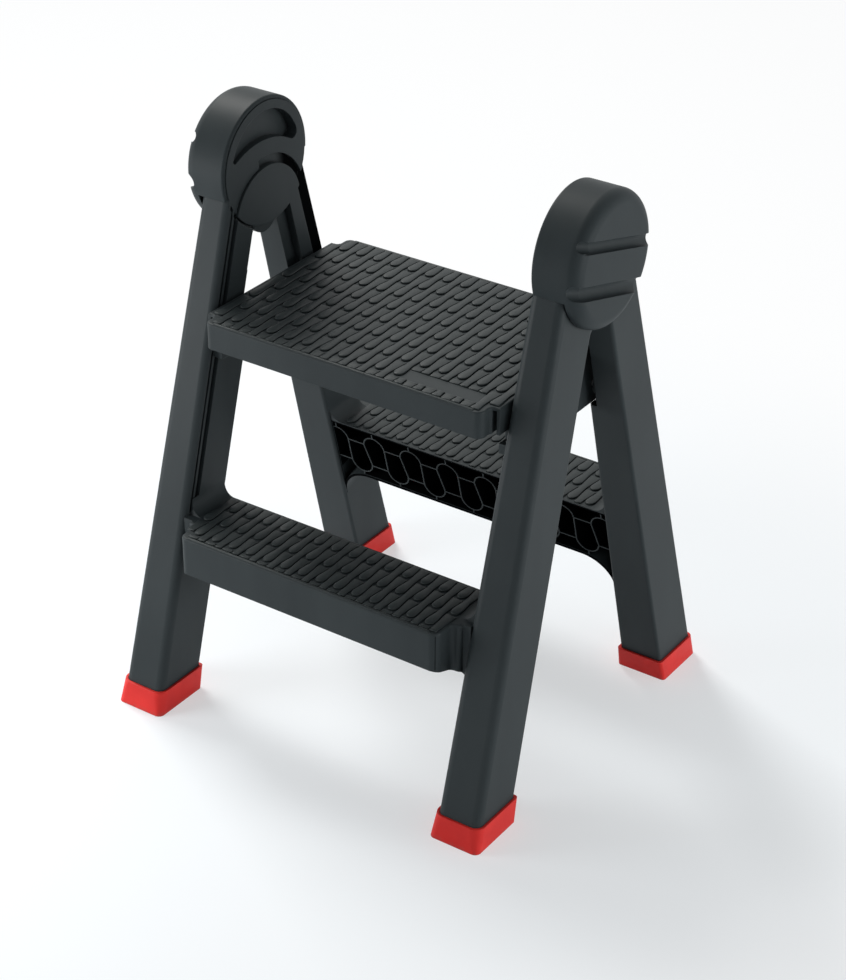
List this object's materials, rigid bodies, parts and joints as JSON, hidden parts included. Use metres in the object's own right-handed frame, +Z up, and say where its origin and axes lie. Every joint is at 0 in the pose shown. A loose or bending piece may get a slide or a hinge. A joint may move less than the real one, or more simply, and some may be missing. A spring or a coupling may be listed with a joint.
{
  "type": "folding step stool",
  "caption": "Folding moulded step stool in dark plastic with a hinged platform, a low step on each frame, round hinge heads and red rubber feet.",
  "frame": {"origin": "on the floor under the middle of the opened stool", "axes": "+Z up; +X to the right seen from the front; +Y to the rear, so the front frame and its step face -Y"},
  "size_m": [0.464, 0.4376, 0.6283],
  "materials": {
    "dark_plastic": "satin moulded, dark anthracite",
    "red_rubber": "plain red, slightly matt",
    "steel": "plain turned"
  },
  "bodies": {
    "front": {"front_frame": "dark_plastic", "hinge_cover_left": "dark_plastic", "hinge_cover_right": "dark_plastic", "hinge_pin_left": "steel", "hinge_pin_right": "steel", "foot_front_left": "red_rubber", "foot_front_right": "red_rubber"},
    "rear": {"rear_frame": "dark_plastic", "foot_rear_left": "red_rubber", "foot_rear_right": "red_rubber", "platform_pin_left": "steel", "platform_pin_right": "steel"},
    "platform": {"top_platform": "dark_plastic"}
  },
  "joints": [
    {"name": "frame_fold", "type": "hinge", "parent": "front", "child": "rear", "pos_m": [0, 0, 0.5035], "axis": [-1, 0, 0], "range_deg": [0, 30]},
    {"name": "platform_fold", "type": "hinge", "parent": "rear", "child": "platform", "pos_m": [0, 0.066, 0.388], "axis": [-1, 0, 0], "range_deg": [0, 74]}
  ]
}
